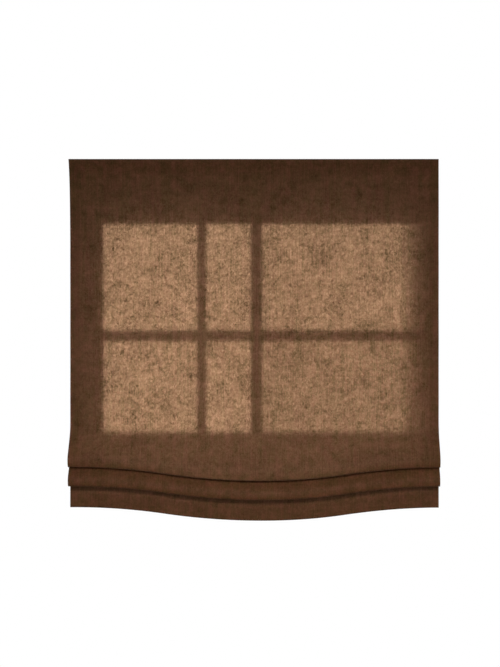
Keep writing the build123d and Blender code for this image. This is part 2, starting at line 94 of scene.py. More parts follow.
behaviour = frame["record"]["behaviour"]
full_lift = next(j["range_m"][1] for j in frame["joints"] if j["name"] == "lift")
climbs = {"root": 0.0, "foot": full_lift}
for coupling in behaviour["couplings"]:
    if coupling["joint"].endswith("_lift"):
        climbs[coupling["joint"].removesuffix("_lift")] = coupling["ratio"] * full_lift
print("levels", {k: round(v, 4) for k, v in levels.items()})
print("climbs", {k: round(v, 4) for k, v in climbs.items()})

# %% [markdown]
# ## Camera
# The blind is seen square on, from a little left of its middle and level with its half height. A real
# lens is used rather than a flat projection, because the folds stand 50 mm forward of the cloth and
# nearness is what makes their ends step out past the sides.

# %% Set the camera
camera_data = bpy.data.cameras.new("camera")
camera = bpy.data.objects.new("camera", camera_data)
bpy.context.scene.collection.objects.link(camera)
bpy.context.scene.camera = camera
camera_distance = 3.6
frame_height = 1.811  # how much height the view takes in at the cloth's plane
left_of_middle = 0.0122
below_top = 0.4737
camera_data.sensor_width = 36.0
camera_data.lens = camera_data.sensor_width * camera_distance / frame_height
camera.location = (-left_of_middle, plane_y - camera_distance, cloth_top - below_top)
camera.rotation_euler = (pi / 2, 0, 0)
print("camera at", [round(v, 3) for v in camera.location], "lens", round(camera_data.lens, 1))

# %% [markdown]
# ## Studio
# The surround shows as pure white but lights the object only gently, so that the dark cloth keeps
# its depth: a light path switch gives the camera the white and everything else the dimmer value.
# One large soft light in front is the key. It stands nearly level with the blind, so that the folds
# at the foot are lit full on, and a narrow light a little above the foot lays a thin shadow under
# each fold's edge. Faint lights from overhead, from the floor and from behind open up the rest.

# %% Set the surround
scene = bpy.context.scene
scene.view_settings.view_transform = "Standard"
world = bpy.data.worlds.new("surround")
scene.world = world
world.use_nodes = True
sky = world.node_tree
sky.nodes.clear()
surround_light = 0.18  # how much of the surround's white reaches the object
seen = sky.nodes.new("ShaderNodeBackground")
seen.inputs["Color"].default_value = (1, 1, 1, 1)
seen.inputs["Strength"].default_value = 1.0
lighting = sky.nodes.new("ShaderNodeBackground")
lighting.inputs["Color"].default_value = (1.0, 0.985, 0.96, 1)
lighting.inputs["Strength"].default_value = surround_light
ray = sky.nodes.new("ShaderNodeLightPath")
choice = sky.nodes.new("ShaderNodeMixShader")
result = sky.nodes.new("ShaderNodeOutputWorld")
sky.links.new(ray.outputs["Is Camera Ray"], choice.inputs[0])
sky.links.new(lighting.outputs[0], choice.inputs[1])
sky.links.new(seen.outputs[0], choice.inputs[2])
sky.links.new(choice.outputs[0], result.inputs[0])
print("surround lights at", surround_light)


# %% Set the studio lights
def area_light(name, centre, size, power, turn, colour=(1, 1, 1)):
    """A rectangular light that shines along its own -Z and doesn't show itself."""
    data = bpy.data.lights.new(name, "AREA")
    data.shape = "RECTANGLE"
    data.size, data.size_y = size
    data.energy = power
    data.color = colour
    light = bpy.data.objects.new(name, data)
    scene.collection.objects.link(light)
    light.location = centre
    light.rotation_euler = turn
    light.visible_camera = False
    return light


def aimed(name, centre, target, size, power, colour=(1, 1, 1), beam=pi):
    """A rectangular light that faces its target. beam is how wide its light fans out, in radians."""
    away = Vector(centre) - Vector(target)
    turn = away.to_track_quat("Z", "Y").to_euler()
    light = area_light(name, centre, size, power, turn, colour)
    light.data.spread = beam
    return light


blind_middle = (0.0, plane_y, cloth_top - side_drop / 2)
blind_foot = (0.0, plane_y, foot + 0.1)
warm = (1.0, 0.985, 0.955)
aimed("key", centre=(0.35, -3.3, -0.25), target=blind_middle, size=(2.4, 1.8), power=60.0, colour=warm)
aimed("overhead", centre=(0.1, -1.6, 1.4), target=blind_middle, size=(3.0, 1.6), power=7.0)
aimed("bounce", centre=(0.0, -1.2, foot - 0.35), target=blind_foot, size=(2.2, 0.5), power=2.0)
aimed("back_fill", centre=(0.7, 2.3, 0.5), target=blind_middle, size=(2.0, 2.0), power=6.0)
aimed("foot_light", centre=(0.0, -1.6, foot + 0.72), target=blind_foot, size=(1.5, 0.3), power=7.6, beam=1.3)
print("studio lights stand round", [round(v, 3) for v in blind_middle])

# %% [markdown]
# ## Daylight behind the cloth
# Linen this open glows where daylight falls on its back. The daylight comes through a window of six
# panes, so it reaches the cloth as six bright rectangles with darker bars between them. No window
# is built: six flat lights stand a few millimetres behind the cloth, one for each pane, and their
# nearness is what keeps the bars crisp. The far right side fades out in steps, because the window's
# frame stood further from the cloth there. Two wide lights further back, one each side of the
# window's middle post, add a soft halo, and a low one adds the gleam above the sill.

# %% Set the daylight
pane_columns = [(-0.410, -0.156), (-0.131, -0.010), (0.021, 0.398)]
pane_rows = [(0.1770, 0.4650), (0.4945, 0.7435)]
pane_shares = [(1.0, 0.99, 0.87), (1.0, 0.98, 0.73)]
fade_step = 0.014
fade_shares = [0.72, 0.48, 0.28, 0.14, 0.05]
pane_gap = 0.0038
pane_y = plane_y + pane_gap
pane_power = 48.5  # watts for each square metre
daylight = (1.0, 0.93, 0.86)
facing_cloth = (-pi / 2, 0, 0)


def pane_light(name, left, right, top, bottom, share):
    """The light of one pane. Its edges are measured from the blind's middle and from its top."""
    centre = ((left + right) / 2, pane_y, cloth_top - (top + bottom) / 2)
    size = (right - left, bottom - top)
    power = pane_power * size[0] * size[1] * share
    return area_light(name, centre, size, power, facing_cloth, daylight)


for r, (top, bottom) in enumerate(pane_rows):
    for c, (left, right) in enumerate(pane_columns):
        pane_light(f"pane_{r}_{c}", left, right, top, bottom, pane_shares[r][c])
    for step, share in enumerate(fade_shares):
        left = pane_columns[-1][1] + step * fade_step
        dimmed = share * pane_shares[r][-1]
        pane_light(f"pane_{r}_fade_{step}", left, left + fade_step, top, bottom, dimmed)
print("panes lit at y", round(pane_y, 4))

# %% Add the halo and the gleam above the sill
halo_sides = {"left": (-0.42, -0.022), "right": (0.034, 0.42)}
halo_height = 0.58
halo_y = 0.038
halo_z = cloth_top - 0.435
halo_power = 1.4
for side, (left, right) in halo_sides.items():
    centre = ((left + right) / 2, halo_y, halo_z)
    area_light("halo_" + side, centre, (right - left, halo_height), halo_power, facing_cloth, daylight)

sill_middle = (0.0, 0.012, cloth_top - 0.803)
sill_size = (0.94, 0.025)
sill_power = 0.95
area_light("sill_glow", sill_middle, sill_size, sill_power, facing_cloth, daylight)
print("halo stands at y", halo_y, "and the gleam at z", round(sill_middle[2], 3))

# %% [markdown]
# ## A small language for shader maths
# Surface patterns are sums and products of a few noises. Written as nodes they are hard to read, so
# one class wraps a socket and turns + - * and abs into Math nodes, and one method of a finish makes
# any other node from its type, its settings and its socket values.

# %% Wrap sockets so that they add up
class Wire:
    """One output socket. Arithmetic on it adds Math nodes."""

    def __init__(self, finish, socket):
        self.finish = finish
        self.socket = socket

    def math(self, operation, a, b):
        return self.finish.node("ShaderNodeMath", {"operation": operation}, {0: a, 1: b})

    def __add__(self, other):
        return self.math("ADD", self, other)

    def __radd__(self, other):
        return self.math("ADD", other, self)

    def __sub__(self, other):
        return self.math("SUBTRACT", self, other)

    def __rsub__(self, other):
        return self.math("SUBTRACT", other, self)

    def __mul__(self, other):
        return self.math("MULTIPLY", self, other)

    def __rmul__(self, other):
        return self.math("MULTIPLY", other, self)

    def __abs__(self):
        return self.math("ABSOLUTE", self, 0.0)


print("sockets add, subtract and multiply")


# %% Make a material's nodes by one method
class Finish:
    """A material, with one method that makes its nodes."""

    def __init__(self, name):
        self.material = bpy.data.materials.new(name)
        self.material.use_nodes = True
        self.tree = self.material.node_tree
        self.tree.nodes.clear()

    def node(self, kind, settings, sockets, out=0):
        """Makes a node: its settings first, then its sockets' values or links. Returns one output."""
        made = self.tree.nodes.new(kind)
        for key, value in settings.items():
            setattr(made, key, value)
        for key, value in sockets.items():
            if isinstance(value, Wire):
                self.tree.links.new(value.socket, made.inputs[key])
            else:
                made.inputs[key].default_value = value
        return Wire(self, made.outputs[out]) if len(made.outputs) else made

    def scaled(self, vector, factors):
        return self.node("ShaderNodeVectorMath", {"operation": "MULTIPLY"}, {0: vector, 1: factors})

    def moved(self, vector, by):
        return self.node("ShaderNodeVectorMath", {"operation": "ADD"}, {0: vector, 1: by})

    def noise(self, vector, scale, detail=2.0, roughness=0.5, distortion=0.0):
        sockets = {
            "Vector": vector,
            "Scale": scale,
            "Detail": detail,
            "Roughness": roughness,
            "Distortion": distortion,
        }
        return self.node("ShaderNodeTexNoise", {}, sockets)

    def ramp(self, value, low, high):
        """0 below low, 1 above high and straight between them."""
        return self.node(
            "ShaderNodeMapRange", {"clamp": True}, {"Value": value, "From Min": low, "From Max": high}
        )

    def tint(self, mask, low, high):
        """A colour between low and high."""
        rgba = [c if isinstance(c, Wire) else (*c, 1.0) for c in (low, high)]
        sockets = {0: mask, 6: rgba[0], 7: rgba[1]}
        return self.node("ShaderNodeMix", {"data_type": "RGBA"}, sockets, out=2)

    def bump(self, height, distance, strength=1.0):
        return self.node(
            "ShaderNodeBump", {}, {"Height": height, "Distance": distance, "Strength": strength}
        )

    def place(self):
        """Where a point lies on the object, in metres."""
        return self.node("ShaderNodeTexCoord", {}, {}, out="Object")

    def split(self, vector):
        """The three parts of a vector."""
        made = self.node("ShaderNodeSeparateXYZ", {}, {0: vector}).socket.node
        return [Wire(self, socket) for socket in made.outputs]

    def wave(self, value):
        """A sine of a value, from -1 to 1."""
        return self.node("ShaderNodeMath", {"operation": "SINE"}, {0: value})

    def shader(self, sockets):
        return self.node("ShaderNodeBsdfPrincipled", {}, sockets)

    def output(self, shader):
        self.node("ShaderNodeOutputMaterial", {}, {"Surface": shader})
        return self.material


print("shader language ready")

# %% [markdown]
# ## Linen
# The yarn is thick and thin by turns, which gives the cloth its slubs: short lengths of fatter yarn
# that show as pale ticks with light behind them, and as soft streaks with light in front. Each yarn
# also took the dye a little differently. Noise stretched along one direction makes the yarns, noise
# with a strong twist makes loose fibres, and the same masks drive colour, glow and relief, so that
# what looks thick also blocks light. Patterns follow the cloth's own flat measure, kept in a UV map
# called cut, so that they turn with the cloth at each fold.

# %% Make the linen
def linen(name):
    f = Finish(name)
    cut = f.node("ShaderNodeUVMap", {"uv_map": "cut"}, {})
    across, along, _ = f.split(cut)

    # Single yarns, stretched far along their own way, and broad streaks of them.
    warp = f.noise(f.scaled(cut, (420, 9, 0)), 1.0, detail=3.0, roughness=0.6)
    weft = f.noise(f.moved(f.scaled(cut, (8, 400, 0)), (3, 7, 0)), 1.0, detail=3.0, roughness=0.6)
    wide_warp = f.noise(f.moved(f.scaled(cut, (90, 5, 0)), (11, 2, 0)), 1.0)

    # Patches from 5 mm to 70 mm across, slubs that lie along the warp, and loose curled fibres.
    mottle = f.noise(cut, 150.0, detail=3.0, roughness=0.6, distortion=1.2)
    blotch = f.noise(f.moved(cut, (2, 6, 0)), 48.0, distortion=0.5)
    cloud = f.noise(cut, 14.0)
    slubs = f.noise(f.scaled(cut, (260, 110, 0)), 1.0, roughness=0.55, distortion=0.9)
    twist = f.noise(f.moved(cut, (5, 9, 0)), 95.0, detail=1.0, distortion=2.2)
    fibres = f.ramp(abs(twist - 0.5), 0.035, 0.0)

    # Colour: each yarn leans towards olive or towards red, and is lighter or darker by patches.
    yarns = (warp - 0.5) * 0.55 + (weft - 0.5) * 0.35 + (wide_warp - 0.5) * 0.3
    tone = 0.5 + yarns + (mottle - 0.5) * 0.4 + (blotch - 0.5) * 0.6 + (cloud - 0.5) * 0.45
    dye = f.ramp(wide_warp * 0.5 + blotch * 0.5 + (warp - 0.5) * 0.4, 0.38, 0.62)
    shade = f.ramp(tone, 0.1, 0.9)
    olive_dark, red_dark = (0.0200, 0.0105, 0.0030), (0.0270, 0.0090, 0.0044)
    olive_light, red_light = (0.0560, 0.0265, 0.0085), (0.0640, 0.0235, 0.0110)
    dark = f.tint(dye, olive_dark, red_dark)
    light = f.tint(dye, olive_light, red_light)
    colour = f.tint(shade, dark, light)

    # Glow: where the weave is thin more daylight comes through, and the doubled side hems dim it.
    hem_edge = half_width - 0.025
    side_hem = f.ramp(abs(across), hem_edge + 0.001, hem_edge - 0.001)
    thin = (
        0.44
        + (mottle - 0.5) * 1.5
        + (blotch - 0.5) * 0.8
        + f.ramp(slubs, 0.5, 0.66) * 0.5
        + (fibres - 0.25) * 0.3
        + (warp - 0.5) * 0.6
        + (cloud - 0.5) * 0.6
    )
    through_hem = 0.62
    most_glow = 0.06
    glow = f.ramp(thin, -0.15, 1.15) * (through_hem + (1 - through_hem) * side_hem) * most_glow

    # Relief: a plain weave of one yarn over and one under, and the yarns' own thickness.
    pitch = 0.0009
    over = f.wave(across * (pi / pitch))
    under = f.wave(along * (pi / pitch))
    weave = over * under
    relief = weave * 0.3 + (warp - 0.5) + (weft - 0.5) * 0.8 + (mottle - 0.5) * 1.2
    normal = f.bump(relief, 0.0005, 0.7)
    thread = f.shader(
        {
            "Base Color": colour,
            "Roughness": f.ramp(tone, 1.6, -0.2),
            "Specular IOR Level": 0.04,
            "Normal": normal,
        }
    )
    lit_through = (0.50, 0.318, 0.195, 1.0)
    through = f.node("ShaderNodeBsdfTranslucent", {}, {"Color": lit_through})
    cloth = f.node("ShaderNodeMixShader", {}, {0: glow, 1: thread, 2: through})
    return f.output(cloth)


linen_finish = linen("brown_linen")
print("linen made with", len(linen_finish.node_tree.nodes), "nodes")

# %% [markdown]
# ## Finishes of the gear
# Behind the cloth the gear is plain: a white lacquered rail, moulded plastic, plated and bare steel,
# touch-fastening tape, braided cord. They share four recipes. Each has a fine relief and a slight change of
# colour and gloss, because no moulded or plated surface is quite even. The braid and the tapes also carry
# painted shade: their colour is darker in the hollows between strands, hooks and loops. What is sewn
# to the cloth or hangs behind it is dyed brown, so that it doesn't show through the open weave.

# %% Make the recipes
def moulded(name, colour, roughness=0.45, grain=1400.0, depth=0.00004, patchy=0.12):
    """Moulded plastic or sprayed lacquer: a fine pebble and a faint cloudiness."""
    f = Finish(name)
    place = f.place()
    pebble = f.noise(place, grain, 2.0)
    cloud = f.noise(place, 22.0, 2.0)
    darker = tuple(c * (1 - patchy) for c in colour)
    sockets = {
        "Base Color": f.tint(f.ramp(cloud, 0.3, 0.7), darker, colour),
        "Roughness": roughness + (cloud - 0.5) * 0.12 + (pebble - 0.5) * 0.1,
        "Normal": f.bump(pebble, depth, 0.6),
    }
    return f.output(f.shader(sockets))


def drawn_metal(name, colour, roughness, stretch):
    """Rolled, drawn or plated metal: lines along the way that it was worked, and dull patches."""
    f = Finish(name)
    place = f.place()
    lines = f.noise(f.scaled(place, stretch), 1.0, 3.0, 0.65)
    dull = f.noise(place, 60.0, 3.0, 0.6)
    darker = tuple(c * 0.8 for c in colour)
    sockets = {
        "Base Color": f.tint(f.ramp(dull, 0.3, 0.75), darker, colour),
        "Roughness": roughness + (lines - 0.5) * 0.2 + (dull - 0.5) * 0.2,
        "Normal": f.bump(lines, 0.00002, 0.5),
        "Metallic": 1.0,
    }
    return f.output(f.shader(sockets))


def braided(name, colour, pitch=0.0011, turns=3.0):
    """Braided cord: two sets of strands that wind opposite ways round it, with painted shade in the grooves
    between them.
    """
    f = Finish(name)
    x, y, z = f.split(f.place())
    rise = z * (2 * pi / pitch)
    swing = (x + y) * (turns * 2 * pi / pitch)
    left = f.wave(rise + swing)
    right = f.wave(rise - swing)
    strands = 0.5 + left * right * 0.5
    # Painted shade: the colour is darker where the strands dip, in the grooves between them.
    darker = tuple(c * 0.7 for c in colour)
    sockets = {
        "Base Color": f.tint(strands, darker, colour),
        "Roughness": 0.85 - strands * 0.2,
        "Normal": f.bump(strands, 0.0002, 0.8),
    }
    return f.output(f.shader(sockets))


def piled(name, colour, pitch, depth, fuzz):
    """One half of a touch-fastening tape: rows of small hooks or a mat of loops, with painted shade in the hollows
    between them.
    """
    f = Finish(name)
    place = f.place()
    x, _, z = f.split(place)
    row = f.wave(x * (2 * pi / pitch))
    rank = f.wave(z * (2 * pi / pitch))
    mat = f.noise(place, 2600.0, 3.0, 0.7, 1.0)
    tuft = f.ramp(row * rank, 0.1, 0.8) * (1.0 - fuzz) + mat * fuzz
    # Painted shade: the colour is darker where the hooks or loops are low, in the hollows between them.
    darker = tuple(c * 0.6 for c in colour)
    sockets = {
        "Base Color": f.tint(tuft, darker, colour),
        "Roughness": 0.9 - tuft * 0.25,
        "Normal": f.bump(tuft, depth, 0.8),
    }
    return f.output(f.shader(sockets))


print("recipes ready for moulded plastic, drawn metal, braid and pile")

# %% Choose a finish for each slot
along_x = (18, 2600, 2600)  # how fine a metal's lines are along each axis
along_z = (2600, 2600, 18)
round_x = (2600, 300, 300)
white = (0.80, 0.79, 0.765)
finishes = {
    "rail_white": moulded("rail_lacquer", (0.82, 0.815, 0.80), 0.38, 900.0, 0.00003),
    "cap_plastic": moulded("cap_plastic", white, 0.42),
    "catch_plastic": moulded("catch_plastic", (0.74, 0.735, 0.715), 0.4),
    "cradle_plastic": moulded("cradle_plastic", (0.70, 0.70, 0.69), 0.45),
    "motor_plastic": moulded("motor_plastic", (0.55, 0.56, 0.57), 0.42),
    "drum_plastic": moulded("drum_plastic", (0.62, 0.62, 0.60), 0.36),
    "ring_plastic": moulded("ring_plastic", (0.100, 0.051, 0.027), 0.25, 2200.0, 0.00001),
    "orb_plastic": moulded("orb_plastic", (0.073, 0.033, 0.0175), 0.25, 2200.0, 0.00001),
    "bracket_steel": drawn_metal("bracket_zinc", (0.72, 0.73, 0.74), 0.38, along_x),
    "bright_steel": drawn_metal("rivet_steel", (0.70, 0.70, 0.69), 0.28, round_x),
    "shaft_steel": drawn_metal("shaft_steel", (0.60, 0.60, 0.60), 0.3, along_x),
    "spring_steel": drawn_metal("spring_steel", (0.42, 0.43, 0.46), 0.25, along_z),
    "weight_metal": drawn_metal("weight_lead", (0.36, 0.36, 0.37), 0.6, round_x),
    "hook_tape": piled("hook_tape", (0.022, 0.012, 0.0065), 0.0016, 0.0006, 0.2),
    "loop_tape": piled("loop_tape", (0.027, 0.0135, 0.0070), 0.0022, 0.0005, 0.85),
    "cord": braided("lift_cord_braid", (0.090, 0.043, 0.022)),
}
print(len(finishes), "finishes made")

# %% [markdown]
# The record says which finish each hard piece takes, so the finishes are handed out by its slots.
# Each piece keeps its construction mesh: only its material changes.

# %% Give the hard pieces their finishes
slots = {part["node"]: part["material_slot"] for part in frame["record"]["subparts"]}
replaced = ("cloth", "lift_cord_left", "lift_cord_right")
for name, piece in frame["nodes"].items():
    if name in replaced:
        continue
    piece.data.materials.clear()
    piece.data.materials.append(finishes[slots[name]])
print("finished", len(frame["nodes"]) - len(replaced), "hard pieces")

# %% [markdown]
# ## Cloth as a surface
# Real linen is about a millimetre thick, and light has to pass through it once, so the cloth is one
# open surface and not a slab. Every stretch of it is a grid of columns and rows. A function gives
# the place of a point from where it is across the blind and how far down the cloth it is, and the
# same two measures go into the UV map. One function for all stretches means that they meet exactly.

# %% Build a stretch of cloth
column_step = 0.005  # the width of a column, and about the height of a row
columns = round(2 * half_width / column_step)
flare_width = 0.0052  # at the top left corner
flare_depth = 0.075
drift_mean = 0.0006
drift_slow = 0.0004
drift_quick = 0.0002


def flare(across, z):
    """Towards its top the cloth is pulled a little to the left, and more so at its left edge."""
    share = 0.5 - 0.5 * across / half_width
    return -flare_width * share**2 * exp((z - cloth_top) / flare_depth)


def drift(across, z):
    """How far hand-hung cloth strays forward of flat: some tenths of a millimetre."""
    slow = noise.noise(Vector((across * 3.1, z * 2.3, 4.0)))
    quick = noise.noise(Vector((across * 9.0, z * 7.0, 9.0)))
    return -drift_mean - drift_slow * slow - drift_quick * quick


def cloth_piece(name, rows, place, body):
    """A grid over the blind's width. place(across, i) gives row i's point and its distance along."""
    vertices, cuts = [], []
    for i in range(rows + 1):
        for j in range(columns + 1):
            across = (2 * j / columns - 1) * half_width
            point, along = place(across, i)
            vertices.append(point)
            cuts.append((across, along))
    wide = columns + 1
    faces = []
    for i in range(rows):
        for j in range(columns):
            a = i * wide + j
            faces.append((a, a + wide, a + wide + 1, a + 1))
    mesh = bpy.data.meshes.new(name)
    mesh.from_pydata(vertices, [], faces)
    layer = mesh.uv_layers.new(name="cut")
    for loop in mesh.loops:
        layer.data[loop.index].uv = cuts[loop.vertex_index]
    mesh.polygons.foreach_set("use_smooth", [True] * len(faces))
    mesh.materials.append(linen_finish)
    piece = bpy.data.objects.new(name, mesh)
    scene.collection.objects.link(piece)
    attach(piece, body)
    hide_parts("cloth")
    return piece


print("cloth grids are", columns, "columns wide")

# %% [markdown]
# ## The sag at mid-width
# The hem hangs 35 mm lower at mid-width than at the sides, and everything at the foot follows it by
# its own share. The line is two arcs each way that meet without a corner, and hand-hung cloth is
# never quite even, so the right half gets a few millimetres more. Where the flat cloth gives way to
# the upper fold it bends forward on a wide arc, which starts a little above the rings.

# %% Work out the sag and the bend into the upper fold
swag_half = half_width / 2 - 0.006  # across the blind, from the lowest point to where the arcs meet
swag_extra = 0.0036  # how much lower the heavier, right half hangs
swag_heavy = 0.22  # where it hangs lowest for that
swag_spread = 0.26
entry_radius = 0.080
upper_reach = 0.052
upper_brow_lift = 0.134
brow_share = 0.8  # how much of the hem's sag the brow follows
brow_wander = 0.0015


def swag(across):
    """How much lower the hem is here than at the sides."""
    radius = (swag_half**2 + (hem_swag / 2) ** 2) / hem_swag
    away = abs(across)
    uneven = swag_extra * exp(-(((across - swag_heavy) / swag_spread) ** 2))
    if away <= swag_half:
        return uneven + hem_swag - (radius - sqrt(radius**2 - away**2))
    if away < 2 * swag_half:
        return uneven + radius - sqrt(radius**2 - (2 * swag_half - away) ** 2)
    return uneven


def brow(across):
    """The front of the upper fold: how far forward it is, wandering a little, and its height."""
    wander = noise.noise(Vector((across * 3.7, 1.0, 2.0)))
    return upper_reach + brow_wander * wander, foot + upper_brow_lift - brow_share * swag(across)


def bent_forward(across, z):
    """How far in front of its plane the flat cloth is where it bends into the upper fold."""
    reach, height = brow(across)
    turn = atan2(reach, fold_start - height)
    below = fold_start + entry_radius * tan(turn / 2) - z
    return entry_radius - sqrt(entry_radius**2 - below**2) if below > 0 else 0.0


side_bend = bent_forward(half_width, fold_start)
print("at its sides the cloth leaves its plane by", round(side_bend, 4), "m at the rings")

# %% [markdown]
# ## Flat cloth, from the headrail to the folds
# The top band is fastened to the rail and never moves. Below it the cloth is held at three rows of
# rings and at the folds. Raising the blind brings these levels together, and the cloth between two
# of them can only pleat forwards. So each stretch between two levels is made as two halves: one
# goes with the level above and one with the level below. For each half a slanting direction to
# flatten along is worked out, with the slants chosen so that the halves would stay joined all the way
# up, but neither half is flattened here. When the blind is down they lie in one plane and read as one
# cloth. The last stretch already stands forward where it meets the fold, so the point worked out for
# it to flatten towards stands out as far, and a little more of its height is reckoned for it to keep.

# %% Make the top band and the stretches between the levels
pleat_hint = 0.0010  # how far the cloth already stands forward half-way between two levels
keep = 0.02  # how much of its unevenness a half would keep if it were flattened
band_rows = 10


def flat_y(across, z, upper, lower):
    """Level at both ends of a stretch and standing a little forward in its middle."""
    share = (upper - z) / (upper - lower)
    forward = pleat_hint * (1 - cos(2 * pi * share)) / 2
    return plane_y - forward - bent_forward(across, z) + drift(across, z)


def flat_place(upper, lower, start, end, rows):
    """Says where row i of a stretch lies that runs from start to end, between two levels."""
    def place(across, i):
        z = start + (end - start) * i / rows
        point = (across + flare(across, z), flat_y(across, z, upper, lower), z)
        return point, cloth_top - z
    return place


def band_place(rows):
    """Says where row i of the top band lies, from the cloth's top edge to where it comes free."""
    def place(across, i):
        z = cloth_top + (hang_line - cloth_top) * i / rows
        return (across + flare(across, z), plane_y + drift(across, z), z), cloth_top - z
    return place


top_band = cloth_piece("linen_top_band", band_rows, band_place(band_rows), "root")

names = list(levels)
for upper_body, lower_body in zip(names, names[1:]):
    upper, lower = levels[upper_body], levels[lower_body]
    gap = upper - lower
    closed = gap - (climbs[lower_body] - climbs[upper_body])
    rise_share = sqrt((1 - closed / gap) / (1 - keep))
    forward_share = sqrt(1 - rise_share**2)
    middle = (upper + lower) / 2
    rows = round(gap / 2 / column_step)
    stood_out = (bent_forward(0, lower) + bent_forward(half_width, lower)) / 2
    reach = gap / 2 * rise_share
    lower_keep = 1 - (1 - keep) * reach / (reach + stood_out * forward_share)
    halves = (
        ("upper", upper_body, upper, middle, -forward_share, (0, plane_y, upper), keep),
        ("lower", lower_body, middle, lower, forward_share, (0, plane_y - stood_out, lower), lower_keep),
    )
    for half, body, start, end, lean, anchor, kept in halves:
        place = flat_place(upper, lower, start, end, rows)
        piece = cloth_piece(f"linen_{lower_body}_{half}", rows, place, body)
        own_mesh(piece)
    print(f"{upper_body} to {lower_body}: {gap:.3f} m apart, {closed:.4f} m when raised")

# %% [markdown]
# ## Folds and hem
# At the foot two folds are gathered up to the rings and held by ties, so they keep their shape when
# the blind moves. Seen from the end each fold leaves the flat cloth, leans forward to a soft brow,
# turns under at its edge and comes back to the rings. The hem is turned up into a pocket for its
# weight. The whole foot sags at mid-width: the hem by 35 mm, the folds' brows a little less and the
# places where they tuck back a little more. The line is drawn as corners with a radius at each, and
# then smoothed along its length, because cloth has no arcs that start and stop.

# %% Place the corners of the foot's line
run_in = 0.06  # straight cloth above the rings, where the line starts
upper_edge_lift = 0.106  # each lift is a height above the foot, at the sides
upper_edge_back = 0.013
upper_tuck_lift = 0.149
lower_tuck_lift = 0.139
tuck_share = 1.2
lower_reach = 0.044
lower_brow_lift = 0.082
lower_edge_lift = 0.047
lower_edge_back = 0.009
hem_tuck_lift = 0.141
hem_tuck_share = 1.24
pocket_back = 0.002  # the pocket hangs this far in front of the cloth's plane
pocket_width = 0.0054
pocket_mouth = 0.0018
pocket_depth = 0.040
edge_radii = {
    "entry": entry_radius,
    "upper_brow": 0.030,
    "upper_edge": 0.007,
    "upper_tuck": 0.003,
    "lower_tuck": 0.003,
    "lower_brow": 0.022,
    "lower_edge": 0.0055,
    "hem_tuck": 0.003,
    "pocket_front": 0.0022,
    "pocket_rear": 0.0022,
}


def fold_corners(across):
    """The foot's line at one place across: corners as (y, z) and the radius at each inner one."""
    low = swag(across)
    reach, brow_height = brow(across)
    wander = noise.noise(Vector((across * 3.1, 6.0, 2.0)))
    upper_brow = plane_y - reach
    lower_brow = plane_y - lower_reach - brow_wander * wander
    pocket = plane_y - pocket_back
    pocket_floor = foot - low + sheet_thickness / 2
    corners = [
        (plane_y, fold_start + run_in),
        (plane_y, fold_start),
        (upper_brow, brow_height),
        (upper_brow + upper_edge_back, foot + upper_edge_lift - low),
        (plane_y, foot + upper_tuck_lift - tuck_share * low),
        (plane_y, foot + lower_tuck_lift - tuck_share * low),
        (lower_brow, foot + lower_brow_lift - low),
        (lower_brow + lower_edge_back, foot + lower_edge_lift - low),
        (plane_y, foot + hem_tuck_lift - hem_tuck_share * low),
        (pocket, pocket_floor),
        (pocket + pocket_width, pocket_floor),
        (pocket + pocket_mouth, pocket_floor + pocket_depth),
    ]
    return [Vector(c) for c in corners], list(edge_radii.values())


print("the foot's line turns at", len(edge_radii), "corners")

# %% Round the line, space it evenly and soften it
foot_rows = 260
arc_steps = 8
soft_passes = 8
hem_kept = 0.075  # the end of the line, from above the hem into its pocket, which stays crisp


def round_line(corners, radii):
    """Points along straight runs joined by tangent arcs, with as many at every place across."""
    points = [corners[0]]
    for before, corner, after, radius in zip(corners, corners[1:], corners[2:], radii):
        into = (corner - before).normalized()
        out = (after - corner).normalized()
        turn = into.angle(out)
        centre = corner + (out - into).normalized() * (radius / cos(turn / 2))
        first = corner - into * (radius * tan(turn / 2)) - centre
        last = corner + out * (radius * tan(turn / 2)) - centre
        for k in range(arc_steps + 1):
            swung = turn * k / arc_steps
            points.append(centre + (first * sin(turn - swung) + last * sin(swung)) / sin(turn))
    points.append(corners[-1])
    return points


def spaced(points, count):
    """The same line with count + 1 points at even spacing, and its length."""
    lengths = [0.0]
    for a, b in zip(points, points[1:]):
        lengths.append(lengths[-1] + (b - a).length)
    even, k = [], 0
    for i in range(count + 1):
        wanted = lengths[-1] * i / count
        while k < len(points) - 2 and lengths[k + 1] < wanted:
            k += 1
        share = (wanted - lengths[k]) / max(lengths[k + 1] - lengths[k], 1e-9)
        even.append(points[k].lerp(points[k + 1], share))
    return even, lengths[-1]


def softened(points, kept):
    """The line with its corners eased, apart from its last kept points."""
    for _ in range(soft_passes):
        eased = [(a + b * 2 + c) / 4 for a, b, c in zip(points, points[1:-kept], points[2:])]
        points = [points[0]] + eased + points[len(eased) + 1:]
    return points


def foot_line(across):
    """The foot's line from the level of its rings down, and its length."""
    dense, length = spaced(round_line(*fold_corners(across)), foot_rows)
    line = softened(dense, round(hem_kept / length * foot_rows))
    start = Vector((plane_y - bent_forward(across, fold_start), fold_start))
    return spaced([start] + [p for p in line if p.y < fold_start or p.x < start.x], foot_rows)


foot_lines = {}
for j in range(columns + 1):
    at = (2 * j / columns - 1) * half_width
    foot_lines[at] = foot_line(at)
print("foot measures", round(foot_lines[-half_width][1], 4), "m at the sides")

# %% Make the foot
fold_lean = 0.0016  # how far to the left a fold's front wanders
settling_rows = 20  # rows over which the drift of the flat cloth above dies away


def foot_place(across, i):
    """Point i of the foot's line at this place across, and how far along the cloth it is."""
    line, length = foot_lines[across]
    y, z = line[i]
    settled = max(0.0, 1 - i / settling_rows)
    lean = fold_lean * (plane_y - y) / upper_reach
    point = (across - lean, y + drift(across, z) * settled, z)
    return point, cloth_top - fold_start + length * i / foot_rows


linen_foot = cloth_piece("linen_foot", foot_rows, foot_place, "foot")
print("linen_foot has", len(linen_foot.data.polygons), "faces")
